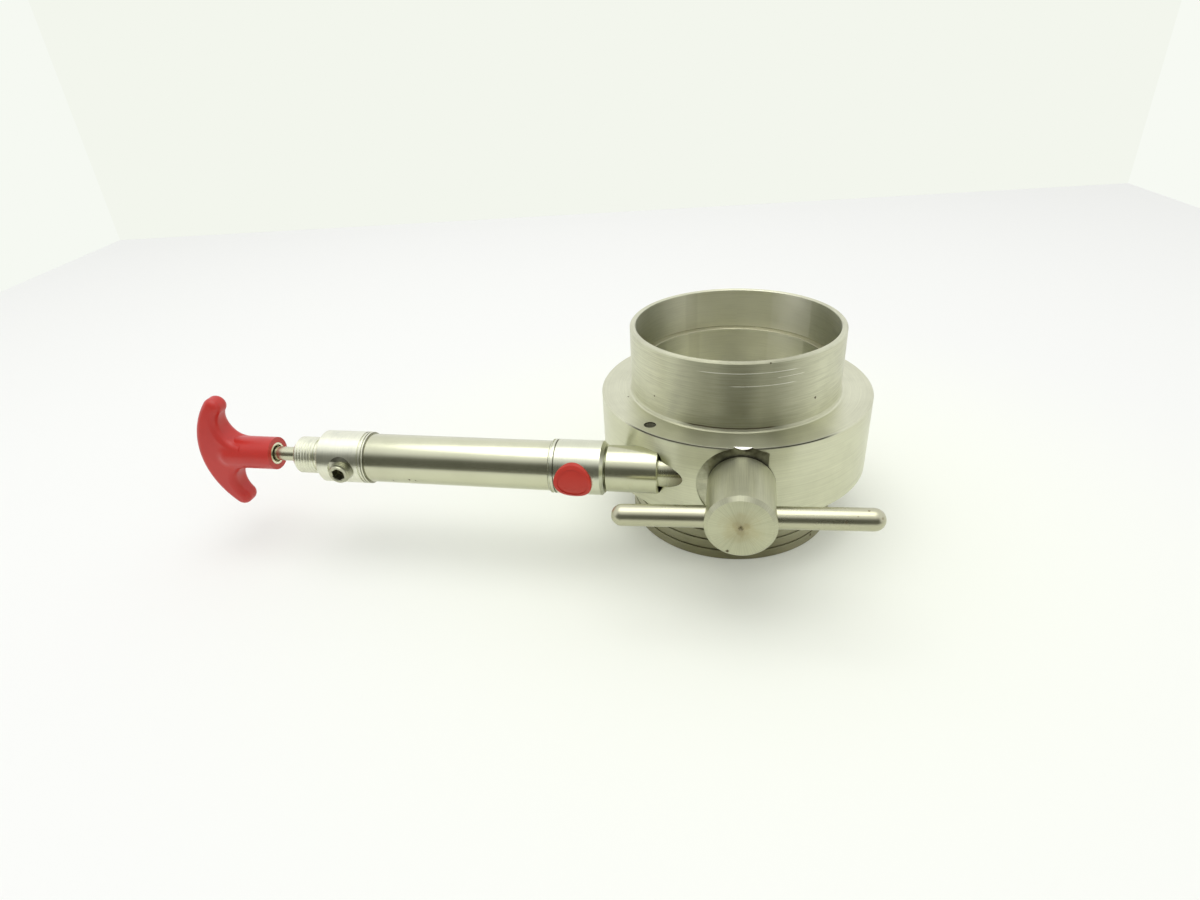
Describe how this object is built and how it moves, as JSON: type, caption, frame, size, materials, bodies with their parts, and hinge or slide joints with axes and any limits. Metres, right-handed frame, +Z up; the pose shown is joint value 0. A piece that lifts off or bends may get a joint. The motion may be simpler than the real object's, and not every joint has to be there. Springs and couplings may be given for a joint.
{
  "type": "butterfly valve",
  "caption": "Tube-end butterfly valve with a hand-turned stem and a spring-returned air cylinder that pins the stem, released by a T pull handle.",
  "frame": {"origin": "centre of the pipe bore in the plane of the lower rim, which the valve stands on", "axes": "+Z up along the pipe axis; the stem runs along Y with its knob towards -Y; the locking cylinder runs along X with its handle at -X"},
  "size_m": [0.3296, 0.1617, 0.1026],
  "materials": {
    "turned_stainless": "turned and lightly brushed stainless steel",
    "polished_stainless": "polished stainless steel",
    "bar_stainless": "ground stainless bar",
    "plug_stainless": "machined stainless pipe plug",
    "screw_steel": "plain steel screw",
    "spring_steel": "drawn spring wire",
    "clear_aluminium": "machined aluminium, clear finish",
    "piston_aluminium": "machined aluminium",
    "insert_aluminium": "turned light metal insert",
    "bronze": "sintered bronze",
    "white_seat_rubber": "moulded white seat rubber",
    "black_seal_rubber": "moulded black rubber",
    "red_cap_plastic": "moulded soft plastic cap",
    "red_handle_plastic": "moulded semi-gloss handle plastic"
  },
  "bodies": {
    "housing": {"valve_body": "turned_stainless", "seat_ring": "white_seat_rubber", "front_stem_bushing": "bronze", "rear_stem_bushing": "bronze", "cylinder_sleeve": "bar_stainless", "sleeve_set_screw": "screw_steel", "front_head": "clear_aluminium", "rear_head": "clear_aluminium", "cylinder_tube": "polished_stainless", "head_o_rings": "black_seal_rubber", "rod_bushings": "bronze", "rod_seals": "black_seal_rubber", "rear_port_plug": "plug_stainless", "front_port_cap": "red_cap_plastic", "return_spring": "spring_steel"},
    "shaft": {"stem": "turned_stainless", "tommy_bar": "bar_stainless", "disc": "polished_stainless", "disc_screws": "screw_steel", "front_stem_o_ring": "black_seal_rubber", "rear_stem_o_ring": "black_seal_rubber"},
    "slider": {"piston": "piston_aluminium", "piston_seals": "black_seal_rubber"},
    "rod": {"piston_rod": "bar_stainless", "lock_pin": "screw_steel", "pull_handle": "red_handle_plastic", "handle_insert": "insert_aluminium"}
  },
  "joints": [
    {"name": "stem_turn", "type": "hinge", "parent": "housing", "child": "shaft", "pos_m": [0.005, 0, 0.0513], "axis": [0, 1, 0], "range_deg": [0, 90]},
    {"name": "lock_slide", "type": "slide", "parent": "housing", "child": "slider", "axis": [1, 0, 0], "range_m": [0, 0.0127], "stiffness_N_per_m": 600, "springref_m": -0.02, "deforming": ["return_spring"]},
    {"name": "grip_turn", "type": "hinge", "parent": "slider", "child": "rod", "pos_m": [-0.15, -0.0548, 0.0513], "axis": [1, 0, 0], "continuous": true}
  ]
}
